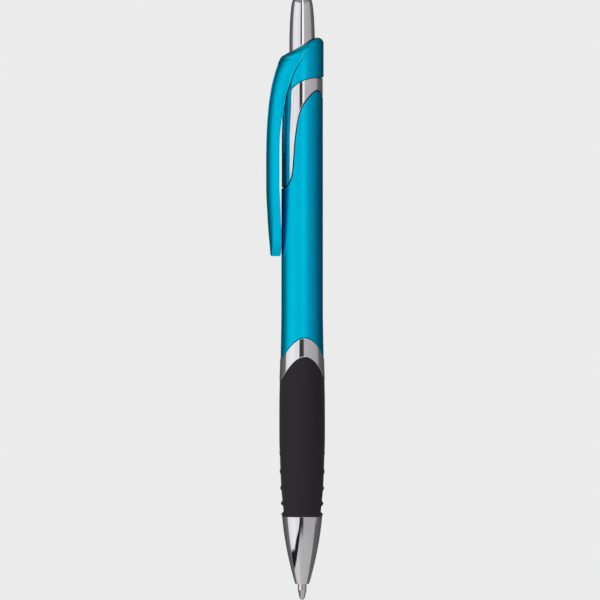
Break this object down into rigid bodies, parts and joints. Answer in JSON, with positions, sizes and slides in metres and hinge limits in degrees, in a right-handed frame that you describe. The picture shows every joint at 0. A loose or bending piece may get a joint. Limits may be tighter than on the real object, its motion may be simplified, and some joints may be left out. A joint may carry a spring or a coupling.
{
  "type": "retractable ballpoint pen",
  "caption": "Push-button ballpoint pen with a one-piece cap and clip, chrome sleeve and band, ribbed rubber grip, and a sprung refill driven by a rotating cam.",
  "frame": {"origin": "lowest point of the writing ball, on the pen's axis, with the point extended", "axes": "+Z along the pen's axis towards the push button; the clip is on the -X side; Y is across the clip"},
  "size_m": [0.0139, 0.0108, 0.142],
  "materials": {
    "teal_lacquer": "satin metallic lacquer",
    "chrome": "polished",
    "grip_rubber": "soft matte",
    "dark_plastic": "moulded",
    "white_plastic": "moulded",
    "clear_plastic": "translucent",
    "ink": "wet ink",
    "spring_steel": "drawn wire",
    "nickel_silver": "turned nickel silver",
    "carbide": "ground carbide"
  },
  "bodies": {
    "barrel": {"barrel": "teal_lacquer", "cap": "teal_lacquer", "upper_sleeve": "chrome", "centre_band": "chrome", "grip_core": "dark_plastic", "grip": "grip_rubber", "nose_cone": "chrome", "cam_guide": "white_plastic"},
    "button": {"push_button": "chrome", "plunger": "white_plastic"},
    "refill": {"refill_tube": "clear_plastic", "ink_column": "ink", "tail_plug": "white_plastic", "tip_adapter": "white_plastic", "point_holder": "nickel_silver", "return_spring": "spring_steel"},
    "rotor": {"rotor_cam": "dark_plastic"},
    "clip": {"clip": "teal_lacquer"},
    "ball": {"writing_ball": "carbide"}
  },
  "joints": [
    {"name": "button_slide", "type": "slide", "parent": "barrel", "child": "button", "axis": [0, 0, 1], "range_m": [-0.0012, 0.005]},
    {"name": "refill_slide", "type": "slide", "parent": "barrel", "child": "refill", "axis": [0, 0, 1], "range_m": [-0.0012, 0.005], "deforming": ["return_spring"]},
    {"name": "cam_turn", "type": "hinge", "parent": "refill", "child": "rotor", "pos_m": [0, 0, 0.108], "axis": [0, 0, 1], "range_deg": [-10.81, 45.01]},
    {"name": "clip_flex", "type": "hinge", "parent": "barrel", "child": "clip", "pos_m": [-0.0057, 0, 0.1266], "axis": [0, 1, 0], "range_deg": [0, 5], "stiffness_Nm_per_rad": 0.8},
    {"name": "ball_roll", "type": "hinge", "parent": "refill", "child": "ball", "pos_m": [0, 0, 0.0005], "axis": [1, 0, 0], "continuous": true}
  ],
  "couplings": [
    {"joint": "refill_slide", "follows": "button_slide", "ratio": 1},
    {"joint": "cam_turn", "follows": "button_slide", "rad_per_m": 157.08}
  ]
}
